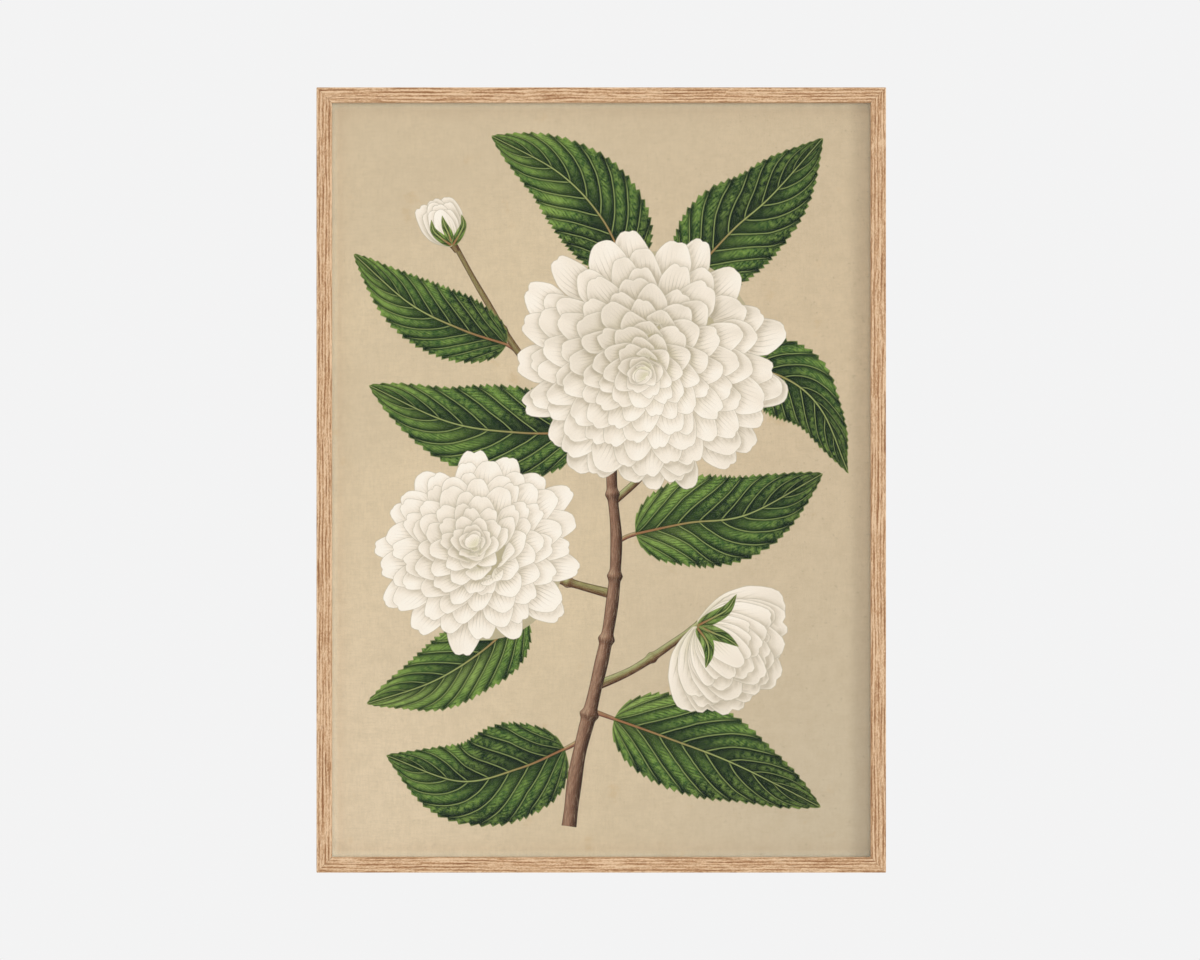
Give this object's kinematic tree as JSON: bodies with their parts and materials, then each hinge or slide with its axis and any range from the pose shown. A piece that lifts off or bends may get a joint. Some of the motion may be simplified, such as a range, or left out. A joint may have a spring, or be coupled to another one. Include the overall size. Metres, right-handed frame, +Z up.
{
  "type": "framed botanical print",
  "caption": "Slim oak picture frame holding glass, a botanical print and a backing board, closed by bendable tabs, with a sawtooth hanger and wall pads behind.",
  "frame": {"origin": "the point of the wall that the hanging nail comes out of, under the middle notch of the sawtooth hanger", "axes": "+X to the right seen from the front, +Y back into the wall, +Z up; the picture faces -Y and the wall is the plane Y = 0"},
  "size_m": [0.528, 0.025, 0.728],
  "materials": {
    "oak": "light oiled oak with straight grain, satin",
    "glass": "clear low-reflection picture glass",
    "paper": "matt aged paper with a printed botanical picture",
    "board": "plain brown fibreboard",
    "steel": "bright spring steel",
    "hanger_plate": "zinc-plated pressed steel",
    "felt": "dense dark felt"
  },
  "bodies": {
    "frame": {"rail_top": "oak", "rail_bottom": "oak", "rail_left": "oak", "rail_right": "oak", "glazing": "glass", "print_sheet": "paper", "backing_board": "board", "corner_key_top_left": "steel", "corner_key_top_right": "steel", "corner_key_bottom_left": "steel", "corner_key_bottom_right": "steel", "hanger": "hanger_plate", "hanger_nail_left": "steel", "hanger_nail_right": "steel", "pad_left": "felt", "pad_right": "felt"},
    "tab_top_1": {"tab_top_1": "steel"},
    "tab_top_2": {"tab_top_2": "steel"},
    "tab_right_1": {"tab_right_1": "steel"},
    "tab_right_2": {"tab_right_2": "steel"},
    "tab_right_3": {"tab_right_3": "steel"},
    "tab_bottom_1": {"tab_bottom_1": "steel"},
    "tab_bottom_2": {"tab_bottom_2": "steel"},
    "tab_left_1": {"tab_left_1": "steel"},
    "tab_left_2": {"tab_left_2": "steel"},
    "tab_left_3": {"tab_left_3": "steel"}
  },
  "joints": [
    {"name": "tab_top_1_bend", "type": "hinge", "parent": "frame", "child": "tab_top_1", "pos_m": [-0.13, -0.0122, -0.0023], "axis": [1, 0, 0], "range_deg": [0, 90]},
    {"name": "tab_top_2_bend", "type": "hinge", "parent": "frame", "child": "tab_top_2", "pos_m": [0.13, -0.0122, -0.0023], "axis": [1, 0, 0], "range_deg": [0, 90]},
    {"name": "tab_right_1_bend", "type": "hinge", "parent": "frame", "child": "tab_right_1", "pos_m": [0.2544, -0.0122, -0.1217], "axis": [0, 0, -1], "range_deg": [0, 90]},
    {"name": "tab_right_2_bend", "type": "hinge", "parent": "frame", "child": "tab_right_2", "pos_m": [0.2544, -0.0122, -0.3567], "axis": [0, 0, -1], "range_deg": [0, 90]},
    {"name": "tab_right_3_bend", "type": "hinge", "parent": "frame", "child": "tab_right_3", "pos_m": [0.2544, -0.0122, -0.5917], "axis": [0, 0, -1], "range_deg": [0, 90]},
    {"name": "tab_bottom_1_bend", "type": "hinge", "parent": "frame", "child": "tab_bottom_1", "pos_m": [0.13, -0.0122, -0.7111], "axis": [-1, 0, 0], "range_deg": [0, 90]},
    {"name": "tab_bottom_2_bend", "type": "hinge", "parent": "frame", "child": "tab_bottom_2", "pos_m": [-0.13, -0.0122, -0.7111], "axis": [-1, 0, 0], "range_deg": [0, 90]},
    {"name": "tab_left_1_bend", "type": "hinge", "parent": "frame", "child": "tab_left_1", "pos_m": [-0.2544, -0.0122, -0.5917], "axis": [0, 0, 1], "range_deg": [0, 90]},
    {"name": "tab_left_2_bend", "type": "hinge", "parent": "frame", "child": "tab_left_2", "pos_m": [-0.2544, -0.0122, -0.3567], "axis": [0, 0, 1], "range_deg": [0, 90]},
    {"name": "tab_left_3_bend", "type": "hinge", "parent": "frame", "child": "tab_left_3", "pos_m": [-0.2544, -0.0122, -0.1217], "axis": [0, 0, 1], "range_deg": [0, 90]}
  ]
}
